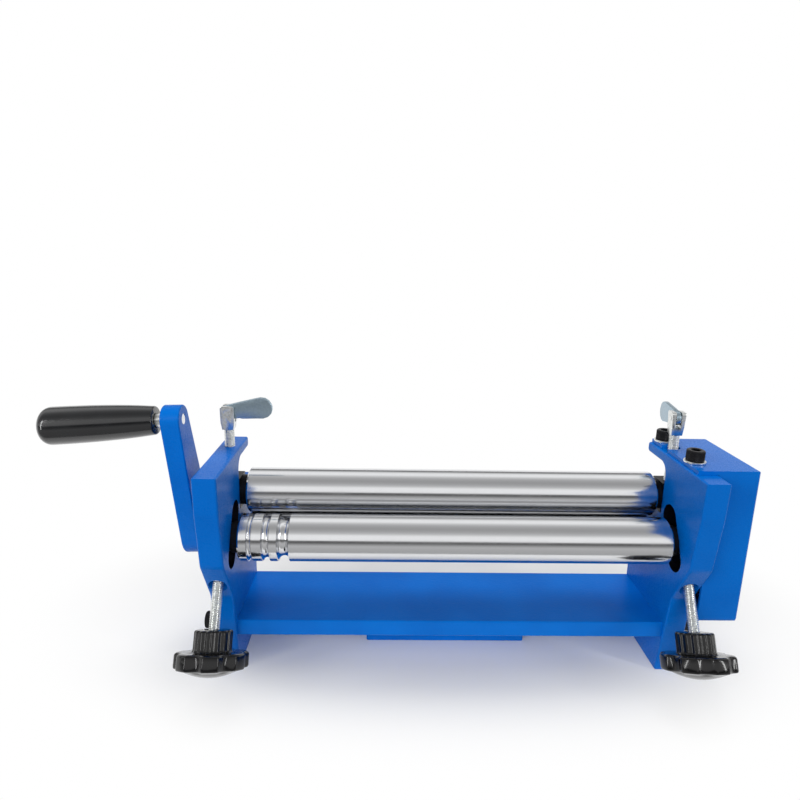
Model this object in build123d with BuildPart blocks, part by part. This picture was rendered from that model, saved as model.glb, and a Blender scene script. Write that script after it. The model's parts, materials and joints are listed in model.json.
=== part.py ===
from build123d import *
from math import acos, cos, pi, radians, sin, tan
import os

# Hand-cranked slip roll machine with three rollers, in millimetres.
# The origin is the centre of the vise block's underside, on the bench.
# X runs along the rollers, from the crank (-X) to the gears (+X).
# Y points away from the bending roller, and Z is up.

# ---- Driving dimensions ----------------------------------------------------

barrel_length = 320          # working width of all three rollers
barrel_d = 35
inner_width = 332            # between the two end frames
frame_t = 17

pinch_y = -18.1              # both pinch rollers, one above the other
lower_z = 102.8
pinch_gap = 0.4              # between the two barrels at rest
bend_y, bend_z = -52.6, 114.2
slot_angle = 30              # the bending roller's slot, from the vertical
slot_width = 21
slot_low, slot_high = -13, 17        # slot centres, along the slot from the roller axis

base_front, base_back = -55, 20
base_low, base_high = 32, 45
frame_top = 174.5
nose_tip_y = 7
nose_low = 166.5
rear_wall_top = 140

thread_d = 8                 # every screw on the machine is M8 but one
thread_clearance = 0.05      # radial, for a screw that turns in its hole
running = 0.03               # radial, for a journal in its bearing

pinch_journal_d = 20         # lower roller, which carries the crank
block_journal_d = 14         # upper and bending rollers, in sliding blocks
block_w, block_h = 19.5, 24
block_slip = 0.05            # between a block and its guides, each side
spacer_gap = 0.2             # between a spacer collar and the frame

crank_shaft_d = 16
crank_face = -211.6          # the arm's outer face, at its hub
crank_arm_t = 14
crank_collar_r = 13
crank_radius = 101.2
crank_lean = 13.3            # towards the bending roller, from the vertical
crank_flare = 1.9            # the arm leans outward too, so that it passes the knob
hub_r, tip_r = 17.5, 11
handle_droop = 4             # the handle points out and a little down

stud_x = inner_width / 2 + frame_t / 2
pin_z = 201.5
wing_levers = {"left": (-1, 0, 8), "right": (1, 84, -3)}    # side, heading, rise

gear_module, gear_teeth = 2.5, 14
gear_x, gear_width = 187, 16
gear_hub_r, clip_r = 11, 10.5

cover_outer = 213.5
cover_front, cover_back = -72, 5
cover_low, cover_high = 57, 177.5
cover_t = 2
flange_edge = 168
cover_screw_ys = (-53, -2)

base_bolt_ys = (-45, 8)
block_screw_x = 45
vise_block_size = (134, 32, 32)

upper_z = lower_z + barrel_d + pinch_gap
frame_inner = inner_width / 2
frame_outer = frame_inner + frame_t
barrel_end = barrel_length / 2
sides = {"left": -1, "right": 1}

head_d, head_h, washer_d, washer_t = 13, 8, 15.5, 1.6     # M8 socket cap screw
hex_key = 6

os.makedirs("parts", exist_ok=True)


# ---- Helpers ---------------------------------------------------------------

def side_plane(x):
    """A plane square to the rollers: its own axes are the machine's Y and Z."""
    return Plane(origin=(x, 0, 0), x_dir=(0, 1, 0), z_dir=(1, 0, 0))


def screw_plane(x, along):
    """A plane square to a knob's screw, along from the bending roller's axis."""
    tilt = radians(slot_angle)
    centre = (x, bend_y + along * sin(tilt), bend_z + along * cos(tilt))
    return Plane(origin=centre, x_dir=(1, 0, 0), z_dir=(0, sin(tilt), cos(tilt)))


def corner(y, z):
    """The sketch corner nearest to a point."""
    return vertices().sort_by_distance(Vector(y, z, 0))[0]


def disc(plane, radius, length, bore=0.0, at=(0, 0), mode=Mode.ADD):
    """A round bar or a ring, from the plane along its normal."""
    with BuildSketch(plane) as section:
        with Locations(at):
            Circle(radius)
            if bore:
                Circle(bore, mode=Mode.SUBTRACT)
    extrude(section.sketch, amount=length, mode=mode)


def bar(y, z, x_from, x_to, radius, bore=0.0, mode=Mode.ADD):
    """A round bar or a ring along X."""
    disc(side_plane(min(x_from, x_to)), radius, abs(x_to - x_from), bore, (y, z), mode)


def cap_screw(plane, length, clear=0.0):
    """A socket head cap screw: its head stands on the plane, its shank goes below."""
    disc(plane.offset(clear), head_d / 2, head_h)
    disc(plane.offset(clear), thread_d / 2, -length - clear)
    with BuildSketch(plane.offset(clear + head_h)) as socket:
        RegularPolygon(hex_key / 2, 6, major_radius=False)
    extrude(socket.sketch, amount=-4, mode=Mode.SUBTRACT)


def save(part, name):
    part.label = name
    export_step(part, f"parts/{name}.step")


# ---- End frames ------------------------------------------------------------

leg_front, foot_front = -63, -52.5
notch_front = pinch_y - block_w / 2 - block_slip
notch_back = pinch_y + block_w / 2 + block_slip
notch_low = upper_z - block_h / 2 - spacer_gap
bevel_top, bevel_low = (-83, 105), (leg_front, 71)
frame_outline = [
    (foot_front, 0), bevel_low, bevel_top, (-89, 148), (-90, frame_top),
    (nose_tip_y, frame_top), (nose_tip_y, nose_low), (notch_front, nose_low),
    (notch_front, notch_low), (notch_back, notch_low), (notch_back, rear_wall_top),
    (base_back, rear_wall_top), (base_back, 0),
]
rounded_corners = [
    (bevel_top, 12), (bevel_low, 8), ((notch_front, nose_low), 9.5),
    ((nose_tip_y, nose_low), 3), ((nose_tip_y, frame_top), 2),
    ((base_back, rear_wall_top), 5), ((foot_front, 0), 2), ((base_back, 0), 2),
]
tilt = radians(slot_angle)
slot_middle = (slot_low + slot_high) / 2
slot_centre = (bend_y + slot_middle * sin(tilt), bend_z + slot_middle * cos(tilt))
spotface_at = -31.5          # along the knob screw, where the screw leaves the casting
spotface_r = 6.8
stud_hole = 4                # how far a stud's hole goes past the nose's underside
casting_edge = 1.5
bolt_z = (base_low + base_high) / 2 + 0.5
bush_r = 13

for name, side in sides.items():
    with BuildPart() as end_frame:
        with BuildSketch(side_plane(frame_inner if side > 0 else -frame_outer)):
            with BuildLine():
                Polyline(*frame_outline, close=True)
            make_face()
            for point, radius in rounded_corners:
                fillet(corner(*point), radius)
        extrude(amount=frame_t)
        outline_edges = edges().filter_by(lambda e: abs(abs(e.center().X) - frame_outer) < 0.01)
        outline_edges += edges().filter_by(lambda e: abs(abs(e.center().X) - frame_inner) < 0.01)
        soft_edges = outline_edges.filter_by(lambda e: not notch_front - 0.1 < e.center().Y < notch_back + 0.1
                                             or e.center().Z > rear_wall_top + 20)
        fillet(soft_edges, casting_edge)
        with BuildSketch(side_plane(side * frame_inner)):
            with Locations((pinch_y, lower_z)):
                Circle(bush_r)
            with Locations(slot_centre):
                SlotCenterToCenter(slot_high - slot_low, slot_width, rotation=90 - slot_angle)
            with Locations(*[(y, bolt_z) for y in base_bolt_ys]):
                Circle(thread_d / 2)
        extrude(amount=side * frame_t, mode=Mode.SUBTRACT)
        with BuildSketch(Plane.XY.offset(frame_top)):
            with Locations((side * stud_x, pinch_y)):
                Circle(thread_d / 2 + thread_clearance)
        extrude(amount=nose_low - frame_top - stud_hole, mode=Mode.SUBTRACT)
        if side > 0:
            with BuildSketch(Plane.XY.offset(frame_top)):
                with Locations(*[(stud_x, y) for y in cover_screw_ys]):
                    Circle(thread_d / 2)
            extrude(amount=nose_low - frame_top - 1, mode=Mode.SUBTRACT)
        with BuildSketch(screw_plane(side * stud_x, spotface_at - 12)):
            Circle(thread_d / 2 + thread_clearance)
        extrude(amount=28, mode=Mode.SUBTRACT)
        with BuildSketch(screw_plane(side * stud_x, spotface_at)):
            Circle(spotface_r)
        extrude(amount=-14, mode=Mode.SUBTRACT)
    save(end_frame.part, f"{name}_frame")

# ---- Base plate, vise block and their screws --------------------------------

bolt_length = 34             # through the frame and into the plate's end
with BuildPart() as base_plate:
    with BuildSketch(Plane.XY.offset(base_low)):
        with Locations((0, (base_front + base_back) / 2)):
            Rectangle(inner_width, base_back - base_front)
    extrude(amount=base_high - base_low)
    chamfer(edges().filter_by(Axis.X).sort_by(Axis.Y)[:2] + edges().filter_by(Axis.X).sort_by(Axis.Y)[-2:], 0.8)
    for side in sides.values():
        with BuildSketch(side_plane(side * frame_inner)):
            with Locations(*[(y, bolt_z) for y in base_bolt_ys]):
                Circle(thread_d / 2)
        extrude(amount=-side * (bolt_length - frame_t), mode=Mode.SUBTRACT)
    with BuildSketch(Plane.XY.offset(base_low)):
        with GridLocations(2 * block_screw_x, 1, 2, 1):
            Circle(thread_d / 2)
    extrude(amount=10, mode=Mode.SUBTRACT)
save(base_plate.part, "base_plate")

with BuildPart() as base_bolts:
    for side in sides.values():
        for y in base_bolt_ys:
            seat = Plane(origin=(side * frame_outer, y, bolt_z), x_dir=(0, 1, 0), z_dir=(side, 0, 0))
            cap_screw(seat, bolt_length, washer_t)
save(base_bolts.part, "base_bolts")

with BuildPart() as base_washers:
    for side in sides.values():
        for y in base_bolt_ys:
            bar(y, bolt_z, side * frame_outer, side * (frame_outer + washer_t), washer_d / 2, thread_d / 2)
save(base_washers.part, "base_washers")

sunk = 9                     # the vise block's screw heads sit in counterbores
with BuildPart() as vise_block:
    with BuildSketch(Plane.XY):
        Rectangle(vise_block_size[0], vise_block_size[1])
    extrude(amount=vise_block_size[2])
    chamfer(edges().filter_by(Axis.Z) + edges().group_by(Axis.Z)[0], 0.8)
    with BuildSketch(Plane.XY):
        with GridLocations(2 * block_screw_x, 1, 2, 1):
            Circle(thread_d / 2)
    extrude(amount=vise_block_size[2], mode=Mode.SUBTRACT)
    with BuildSketch(Plane.XY):
        with GridLocations(2 * block_screw_x, 1, 2, 1):
            Circle(head_d / 2 + 0.5)
    extrude(amount=sunk, mode=Mode.SUBTRACT)
save(vise_block.part, "vise_block")

with BuildPart() as vise_block_screws:
    for x in (-block_screw_x, block_screw_x):
        seat = Plane(origin=(x, 0, sunk), x_dir=(1, 0, 0), z_dir=(0, 0, -1))
        cap_screw(seat, base_low - sunk + 9.5)
save(vise_block_screws.part, "vise_block_screws")

# ---- Bearings ---------------------------------------------------------------

screw_pocket = 2.6           # in a bending block, for the end of its knob's screw

for name, side in sides.items():
    with BuildPart() as bush:
        bar(pinch_y, lower_z, side * frame_inner, side * frame_outer, bush_r, pinch_journal_d / 2 + running)
    save(bush.part, f"lower_bush_{name}")

    with BuildPart() as upper_block:
        with BuildSketch(side_plane(side * frame_inner)):
            with Locations((pinch_y, upper_z)):
                Rectangle(block_w, block_h)
                Circle(block_journal_d / 2 + running, mode=Mode.SUBTRACT)
        extrude(amount=side * frame_t)
        chamfer(edges().filter_by(Axis.X).group_by(Axis.Z)[-1], 1)
        with BuildSketch(Plane.XY.offset(upper_z + block_h / 2)):
            with Locations((side * stud_x, pinch_y)):
                Circle(thread_d / 2 + thread_clearance)
        extrude(amount=-3, mode=Mode.SUBTRACT)
    save(upper_block.part, f"upper_block_{name}")

    with BuildPart() as bend_block:
        bar(bend_y, bend_z, side * frame_inner, side * frame_outer,
            slot_width / 2 - block_slip, block_journal_d / 2 + running)
        with BuildSketch(screw_plane(side * stud_x, -slot_width / 2 - 2)):
            Circle(thread_d / 2 + thread_clearance)
        extrude(amount=2 + screw_pocket, mode=Mode.SUBTRACT)
    save(bend_block.part, f"bending_block_{name}")

# ---- Rollers ------------------------------------------------------------------

shaft_end = 205.5            # behind the gears
key_size, key_length = 5, 14
clip_x, clip_t = gear_x + gear_width, 1.2
edge_break = 1.2             # chamfer on the barrel's ends

with BuildPart() as lower_roller:
    bar(pinch_y, lower_z, -barrel_end, barrel_end, barrel_d / 2)
    chamfer(edges().filter_by(GeomType.CIRCLE), edge_break)
    bar(pinch_y, lower_z, -frame_outer - 0.5, frame_outer + 0.5, pinch_journal_d / 2)
    bar(pinch_y, lower_z, crank_face + 0.4, 0, crank_shaft_d / 2)
    bar(pinch_y, lower_z, 0, shaft_end, block_journal_d / 2)
    with BuildSketch(side_plane(gear_x)):
        with Locations((pinch_y, lower_z - block_journal_d / 2)):
            Rectangle(key_size, key_size)
    extrude(amount=key_length, mode=Mode.SUBTRACT)
save(lower_roller.part, "lower_roller")

with BuildPart() as upper_roller:
    bar(pinch_y, upper_z, -barrel_end, barrel_end, barrel_d / 2)
    chamfer(edges().filter_by(GeomType.CIRCLE), edge_break)
    bar(pinch_y, upper_z, -frame_outer, shaft_end, block_journal_d / 2)
    with BuildSketch(side_plane(gear_x)):
        with Locations((pinch_y, upper_z + block_journal_d / 2)):
            Rectangle(key_size, key_size)
    extrude(amount=key_length, mode=Mode.SUBTRACT)
save(upper_roller.part, "upper_roller")

# Wire grooves at the crank end: the land before each groove, and its width.
wire_grooves = [(6.6, 3.8), (6.9, 5.8), (5.5, 8.7)]
barrel_r, journal_r = barrel_d / 2, block_journal_d / 2
with BuildPart() as bending_roller:
    with BuildSketch(Plane(origin=(0, bend_y, bend_z), x_dir=(1, 0, 0), z_dir=(0, -1, 0))):
        with BuildLine():
            Polyline((frame_outer, 0), (-frame_outer, 0), (-frame_outer, journal_r), (-barrel_end, journal_r),
                     (-barrel_end, barrel_r - edge_break), (-barrel_end + edge_break, barrel_r))
            surface_x, groove_x = -barrel_end + edge_break, -barrel_end
            for land, width in wire_grooves:
                groove_x += land
                Line((surface_x, barrel_r), (groove_x, barrel_r))
                surface_x = groove_x + width
                ThreePointArc((groove_x, barrel_r), (groove_x + width / 2, barrel_r - width / 2),
                              (surface_x, barrel_r))
                groove_x = surface_x
            Polyline((surface_x, barrel_r), (barrel_end - edge_break, barrel_r),
                     (barrel_end, barrel_r - edge_break), (barrel_end, journal_r),
                     (frame_outer, journal_r), (frame_outer, 0))
        make_face()
    revolve(axis=Axis((0, bend_y, bend_z), (1, 0, 0)))
save(bending_roller.part, "bending_roller")

roller_seats = {
    "lower": (pinch_y, lower_z, 13.5, pinch_journal_d / 2),
    "upper": (pinch_y, upper_z, 11.75, block_journal_d / 2),
    "bending": (bend_y, bend_z, 11.75, block_journal_d / 2),
}
for name, (y, z, radius, bore) in roller_seats.items():
    with BuildPart() as spacers:
        for side in sides.values():
            bar(y, z, side * barrel_end, side * (frame_inner - spacer_gap), radius, bore)
    save(spacers.part, f"{name}_spacers")

# ---- Gears ---------------------------------------------------------------------

pitch_r = gear_module * gear_teeth / 2
base_r = pitch_r * cos(radians(20))
tip_radius, root_radius = pitch_r + 2.3, pitch_r - 3.1
tooth_thickness = 3.45       # at the pitch circle, so the teeth have backlash
tooth_pitch = 360 / gear_teeth


def involute(radius):
    """The angle, in radians, by which an involute flank has turned at a radius."""
    pressure = acos(min(1, base_r / radius))
    return tan(pressure) - pressure


def flank(radius):
    """Half of a tooth's angle at a radius, in degrees."""
    half = tooth_thickness / (2 * pitch_r) + involute(pitch_r) - involute(max(radius, base_r))
    return half * 180 / pi


flank_radii = [root_radius, base_r, pitch_r, (pitch_r + tip_radius) / 2, tip_radius]


def gear_points(first_angle):
    points = []
    for tooth in range(gear_teeth):
        middle = first_angle + tooth * tooth_pitch
        rising = [(r, middle - flank(r)) for r in flank_radii]
        falling = [(r, middle + flank(r)) for r in reversed(flank_radii)]
        for r, angle in rising + falling:
            points.append((r * cos(radians(angle)), r * sin(radians(angle))))
    return points


# The lower gear has a tooth pointing up, and the upper gear a space pointing down.
# Both key seats are on the far side of the mesh.
gears = {
    "lower": (lower_z, 90, -1),
    "upper": (upper_z, -90 + tooth_pitch / 2, 1),
}
for name, (z, first_angle, key_side) in gears.items():
    keyway_z = z + key_side * block_journal_d / 2
    with BuildPart() as gear:
        with BuildSketch(side_plane(gear_x)):
            with BuildLine():
                Polyline(*[(pinch_y + a, z + b) for a, b in gear_points(first_angle)], close=True)
            make_face()
        extrude(amount=gear_width)
        bar(pinch_y, z, frame_outer + 1, gear_x, gear_hub_r)
        with BuildSketch(side_plane(frame_outer)):
            with Locations((pinch_y, z)):
                Circle(block_journal_d / 2)
            with Locations((pinch_y, keyway_z)):
                Rectangle(key_size, key_size)
        extrude(amount=gear_width + 10, mode=Mode.SUBTRACT)
    save(gear.part, f"{name}_gear")

    with BuildPart() as key:
        with BuildSketch(side_plane(gear_x)):
            with Locations((pinch_y, keyway_z)):
                Rectangle(key_size, key_size)
        extrude(amount=key_length)
    save(key.part, f"{name}_gear_key")

    with BuildPart() as clip:
        bar(pinch_y, z, clip_x, clip_x + clip_t, clip_r, block_journal_d / 2)
        with BuildSketch(side_plane(clip_x)):
            with Locations((pinch_y, z - 9)):
                Rectangle(6, 6)
        extrude(amount=clip_t, mode=Mode.SUBTRACT)
    save(clip.part, f"{name}_gear_clip")

# ---- Gear cover -----------------------------------------------------------------

cover_top_t = cover_high - frame_top
stud_notch_r = 5.6           # the flange is open round the wing screw
with BuildPart() as gear_cover:
    with BuildSketch(side_plane(frame_outer)):
        with Locations(((cover_front + cover_back) / 2, (cover_low + cover_high) / 2)):
            Rectangle(cover_back - cover_front, cover_high - cover_low)
        fillet(vertices().group_by(Axis.Y)[0], 3)
    extrude(amount=cover_outer - frame_outer)
    chamfer(edges().group_by(Axis.X)[-1], 1.2)
    with BuildSketch(side_plane(frame_outer)):
        with Locations(((cover_front + cover_back) / 2, (cover_low + cover_t + frame_top) / 2)):
            Rectangle(cover_back - cover_front - 2 * cover_t, frame_top - cover_low - cover_t)
    extrude(amount=cover_outer - frame_outer - cover_t, mode=Mode.SUBTRACT)
    with BuildSketch(Plane.XY.offset(frame_top)):
        with Locations(((flange_edge + frame_outer) / 2, (cover_front + cover_back) / 2)):
            Rectangle(frame_outer - flange_edge, cover_back - cover_front)
    extrude(amount=cover_top_t)
    with BuildSketch(Plane.XY.offset(frame_top)):
        with Locations(*[(stud_x, y) for y in cover_screw_ys]):
            Circle(thread_d / 2)
        with Locations((stud_x, pinch_y)):
            Circle(stud_notch_r)
        with Locations(((flange_edge + stud_x) / 2 - 1, pinch_y)):
            Rectangle(stud_x - flange_edge + 2, 2 * stud_notch_r)
    extrude(amount=cover_top_t, mode=Mode.SUBTRACT)
save(gear_cover.part, "gear_cover")

cover_screw_length = cover_top_t + frame_top - nose_low - 0.5
with BuildPart() as cover_screws:
    for y in cover_screw_ys:
        seat = Plane(origin=(stud_x, y, cover_high), z_dir=(0, 0, 1))
        cap_screw(seat, cover_screw_length, washer_t)
save(cover_screws.part, "cover_screws")

with BuildPart() as cover_washers:
    for y in cover_screw_ys:
        seat = Plane(origin=(stud_x, y, cover_high), z_dir=(0, 0, 1))
        disc(seat, washer_d / 2, washer_t, thread_d / 2)
save(cover_washers.part, "cover_washers")

# ---- Crank and handle -------------------------------------------------------------

lean, flare, droop = radians(crank_lean), radians(crank_flare), radians(handle_droop)
along_arm = Vector(-sin(flare), -sin(lean) * cos(flare), cos(lean) * cos(flare))
out_of_arm = Vector(-cos(flare), sin(lean) * sin(flare), -cos(lean) * sin(flare))
arm_face = Plane(origin=(crank_face, pinch_y, lower_z), x_dir=along_arm, z_dir=out_of_arm)
handle_origin = Vector(crank_face, pinch_y, lower_z) + along_arm * crank_radius
handle_axis = Plane(origin=handle_origin, x_dir=(0, 1, 0), z_dir=(-cos(droop), 0, -sin(droop)))
spindle_d = 8
set_screw_d, set_screw_length = 6, 6
set_screw_x = crank_face + crank_arm_t / 2

with BuildPart() as crank_arm:
    with BuildSketch(arm_face):
        Circle(hub_r)
        with Locations((crank_radius, 0)):
            Circle(tip_r)
        make_hull()
    extrude(amount=-crank_arm_t)
    fillet(edges(), 1.2)
    bar(pinch_y, lower_z, crank_face - 5, crank_face + crank_arm_t + 5, crank_shaft_d / 2, mode=Mode.SUBTRACT)
    with BuildSketch(handle_axis.offset(-20)):
        Circle(spindle_d / 2)
    extrude(amount=25, mode=Mode.SUBTRACT)
    with BuildSketch(Plane(origin=(set_screw_x, pinch_y, lower_z), z_dir=(0, 1, 0))):
        Circle(set_screw_d / 2)
    extrude(amount=hub_r + 1, mode=Mode.SUBTRACT)
save(crank_arm.part, "crank_arm")

with BuildPart() as crank_set_screw:
    with BuildSketch(Plane(origin=(set_screw_x, pinch_y + crank_shaft_d / 2, lower_z), z_dir=(0, 1, 0))):
        Circle(set_screw_d / 2)
    extrude(amount=set_screw_length)
    socket_y = pinch_y + crank_shaft_d / 2 + set_screw_length
    with BuildSketch(Plane(origin=(set_screw_x, socket_y, lower_z), z_dir=(0, 1, 0))):
        RegularPolygon(1.5, 6, major_radius=False)
    extrude(amount=-3, mode=Mode.SUBTRACT)
save(crank_set_screw.part, "crank_set_screw")

with BuildPart() as crank_collar:
    bar(pinch_y, lower_z, crank_face + crank_arm_t + 0.6, -frame_outer - 1, crank_collar_r, crank_shaft_d / 2)
    chamfer(edges().filter_by(GeomType.CIRCLE).group_by(Axis.X)[0].sort_by(SortBy.LENGTH)[-1], 1)
save(crank_collar.part, "crank_collar")

collar_start, collar_end = 0.4, 5.4
grip_start, grip_end = 5.8, 90
spindle_depth = 13.8         # how far the spindle goes back through the arm
bore_end = 76

with BuildPart() as handle_spindle:
    disc(handle_axis.offset(-spindle_depth), spindle_d / 2, spindle_depth + bore_end - 1)
save(handle_spindle.part, "handle_spindle")

with BuildPart() as handle_collar:
    disc(handle_axis.offset(collar_start), 5.4, collar_end - collar_start, spindle_d / 2)
save(handle_collar.part, "handle_collar")

# Half outline of the grip: along the handle from the arm's face, and the radius there.
grip_neck_r, grip_middle_r, grip_belly_r = 10.6, 13.3, 14
grip_belly = grip_end - 9    # where the rounded outer end begins
grip_crown = 3               # how far the nearly flat end bulges
with BuildPart() as handle_grip:
    with BuildSketch(Plane(origin=handle_origin, x_dir=handle_axis.z_dir, z_dir=(0, 1, 0))):
        with BuildLine():
            Polyline((grip_end, 0), (grip_start, 0), (grip_start, grip_neck_r - 1.5))
            Line((grip_start, grip_neck_r - 1.5), (grip_start + 1.5, grip_neck_r))
            Spline((grip_start + 1.5, grip_neck_r), (40, grip_middle_r), (grip_belly, grip_belly_r),
                   tangents=[(1, 0.12), (1, 0)])
            Spline((grip_belly, grip_belly_r), (grip_end - grip_crown, 9), (grip_end, 0),
                   tangents=[(1, 0), (0, -1)])
        make_face()
    revolve(axis=Axis(handle_origin, handle_axis.z_dir))
    with BuildSketch(handle_axis.offset(grip_start)):
        Circle(spindle_d / 2 + thread_clearance)
    extrude(amount=bore_end - grip_start, mode=Mode.SUBTRACT)
save(handle_grip.part, "handle_grip")

# ---- Wing screws and their levers --------------------------------------------------

stud_low = upper_z + block_h / 2 - 2.7
stud_high = 188
stud_neck = 4.15             # half width of the fork where it meets the stud
clevis_r, clevis_half = 5.2, 5.3
clevis_slot, slot_floor, fork_top = 4.2, 194, 206.8
pin_r = 2
lever_t, lever_length = 3.4, 34.2
lever_root_r, lever_end_r = 5.6, 8.3

for name, (side, heading, rise) in wing_levers.items():
    turn = radians(heading)
    along = Vector(cos(turn), sin(turn), 0)          # where the lever points
    across = Vector(sin(turn), -cos(turn), 0)        # the pin's direction
    centre = Vector(side * stud_x, pinch_y, 0)
    lever_face = Plane(origin=centre, x_dir=along, z_dir=across)
    fork_face = Plane(origin=centre, x_dir=-across, z_dir=along)
    with BuildPart() as wing_screw:
        with BuildSketch(lever_face):
            with BuildLine():
                Polyline((-clevis_r, fork_top), (-clevis_r, slot_floor), (-stud_neck, stud_high),
                         (stud_neck, stud_high), (clevis_r, slot_floor), (clevis_r, fork_top), close=True)
            make_face()
            fillet(vertices().group_by(Axis.Y)[-1], 2)
        extrude(amount=clevis_half + 1, both=True)
        with BuildSketch(fork_face):
            with BuildLine():
                Polyline((-stud_neck, stud_high), (stud_neck, stud_high), (clevis_half, fork_top + 1),
                         (-clevis_half, fork_top + 1), close=True)
            make_face()
        extrude(amount=clevis_r + 1, both=True, mode=Mode.INTERSECT)
        with BuildSketch(fork_face):
            with BuildLine():
                Polyline((-clevis_slot / 2, slot_floor), (clevis_slot / 2, slot_floor),
                         (clevis_slot / 2, fork_top + 1), (-clevis_slot / 2, fork_top + 1), close=True)
            make_face()
        extrude(amount=clevis_r + 1, both=True, mode=Mode.SUBTRACT)
        with BuildSketch(lever_face):
            with Locations((0, pin_z)):
                Circle(pin_r)
        extrude(amount=clevis_half + 1, both=True, mode=Mode.SUBTRACT)
        disc(Plane(origin=(side * stud_x, pinch_y, stud_low), z_dir=(0, 0, 1)), thread_d / 2,
             stud_high - stud_low)
    save(wing_screw.part, f"wing_screw_{name}")

    with BuildPart() as wing_pin:
        with BuildSketch(lever_face):
            with Locations((0, pin_z)):
                Circle(pin_r)
        extrude(amount=clevis_half - 0.2, both=True)
    save(wing_pin.part, f"wing_pin_{name}")

    lift = radians(rise)
    end_distance = lever_length - lever_end_r
    with BuildPart() as wing_lever:
        with BuildSketch(lever_face):
            with Locations((0, pin_z)):
                Circle(lever_root_r)
            with Locations((end_distance * cos(lift), pin_z + end_distance * sin(lift))):
                Circle(lever_end_r)
            make_hull()
            with Locations((0, pin_z)):
                Circle(pin_r + thread_clearance, mode=Mode.SUBTRACT)
        extrude(amount=lever_t / 2, both=True)
    save(wing_lever.part, f"wing_lever_{name}")

# ---- Knobs under the bending roller -------------------------------------------------

screw_tip = -slot_width / 2 + screw_pocket - 0.2
hub_top, hub_height = -65.5, 14.6
lobed_height, dome_height = 11, 6
knob_r, knob_hub_r = 25.8, 13.5
lobes, flutes = 7, 14
thread_in_knob = 10

for name, side in sides.items():
    with BuildPart() as knob_screw:
        disc(screw_plane(side * stud_x, hub_top - thread_in_knob), thread_d / 2,
             screw_tip - hub_top + thread_in_knob)
    save(knob_screw.part, f"knob_screw_{name}")

    with BuildPart() as star_knob:
        with BuildSketch(screw_plane(side * stud_x, hub_top)):
            Circle(knob_hub_r)
            with PolarLocations(knob_hub_r + 0.8, flutes):
                Circle(1.9, mode=Mode.SUBTRACT)
        extrude(amount=-hub_height)
        with BuildSketch(screw_plane(side * stud_x, hub_top - hub_height)):
            Circle(knob_r)
            with PolarLocations(knob_r + 5.2, lobes):
                Circle(8.2, mode=Mode.SUBTRACT)
            fillet(vertices(), 3)
        extrude(amount=-lobed_height)
        dome_base = hub_top - hub_height - lobed_height
        cap_r = knob_r - 4
        sphere_r = (cap_r ** 2 + dome_height ** 2) / (2 * dome_height)
        under = screw_plane(side * stud_x, dome_base)
        with BuildSketch(Plane(origin=under.origin, x_dir=under.x_dir, z_dir=-under.y_dir)):
            with BuildLine():
                Polyline((0, -dome_height), (0, 1), (cap_r, 1), (cap_r, 0))
                RadiusArc((cap_r, 0), (0, -dome_height), sphere_r)
            make_face()
        revolve(axis=Axis(under.origin, under.z_dir))
        with BuildSketch(screw_plane(side * stud_x, hub_top)):
            Circle(thread_d / 2)
        extrude(amount=-thread_in_knob, mode=Mode.SUBTRACT)
    save(star_knob.part, f"star_knob_{name}")
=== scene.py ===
# %% [markdown]
# # A hand-cranked slip roll in Blender
#
# This machine bends sheet metal and wire between three steel rollers. The solid model gives
# every part its place and its size. This lesson dresses it: it gives each surface the finish
# of the real material, and replaces the parts whose detail the solids leave out, such as
# screw threads, knurled screw heads and moulded knobs.
#
# The first cell loads the solid model. Everything is in metres, with X along the rollers,
# Z up, and the crank at the left.

# %% Load the machine
import bpy
import bmesh
import json
from math import cos, pi, radians, sin, sqrt, tau
from mathutils import Matrix, Vector
from mathutils.geometry import interpolate_bezier


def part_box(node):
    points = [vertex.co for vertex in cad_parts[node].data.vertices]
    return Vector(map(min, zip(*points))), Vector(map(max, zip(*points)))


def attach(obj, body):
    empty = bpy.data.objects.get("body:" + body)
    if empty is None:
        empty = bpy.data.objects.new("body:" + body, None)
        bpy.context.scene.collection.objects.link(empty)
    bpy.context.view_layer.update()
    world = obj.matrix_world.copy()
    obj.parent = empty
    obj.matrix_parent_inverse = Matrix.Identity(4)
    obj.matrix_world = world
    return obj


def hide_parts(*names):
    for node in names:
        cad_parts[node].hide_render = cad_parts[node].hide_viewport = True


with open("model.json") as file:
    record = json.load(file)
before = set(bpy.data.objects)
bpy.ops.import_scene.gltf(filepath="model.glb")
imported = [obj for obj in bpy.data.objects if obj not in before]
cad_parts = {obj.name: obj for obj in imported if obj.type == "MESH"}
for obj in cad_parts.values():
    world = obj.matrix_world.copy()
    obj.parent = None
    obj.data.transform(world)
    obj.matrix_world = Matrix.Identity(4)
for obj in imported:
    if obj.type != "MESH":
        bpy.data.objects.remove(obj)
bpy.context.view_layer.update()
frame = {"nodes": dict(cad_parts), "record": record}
solids = frame["nodes"]
mm = 0.001

# %% [markdown]
# ## The camera
#
# The photograph was taken from the front left and a little above. The edges of the base and
# the tops of the two end frames run together towards the horizon, and their pace gives the
# camera's height, tilt and lens. It is also rolled by about one degree.

# %% Place the camera
eye = Vector((-53.33, -472.36, 324.27)) * mm
tilt_down, turn_right, roll = radians(13.77), radians(1.36), radians(1.13)
lens_in_pixels, picture_width = 607.35, 800

ahead = Vector((sin(turn_right) * cos(tilt_down), cos(turn_right) * cos(tilt_down), -sin(tilt_down)))
level_right = Vector((cos(turn_right), -sin(turn_right), 0))
level_down = ahead.cross(level_right)
right = cos(roll) * level_right - sin(roll) * level_down
down = ahead.cross(right)

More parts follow.
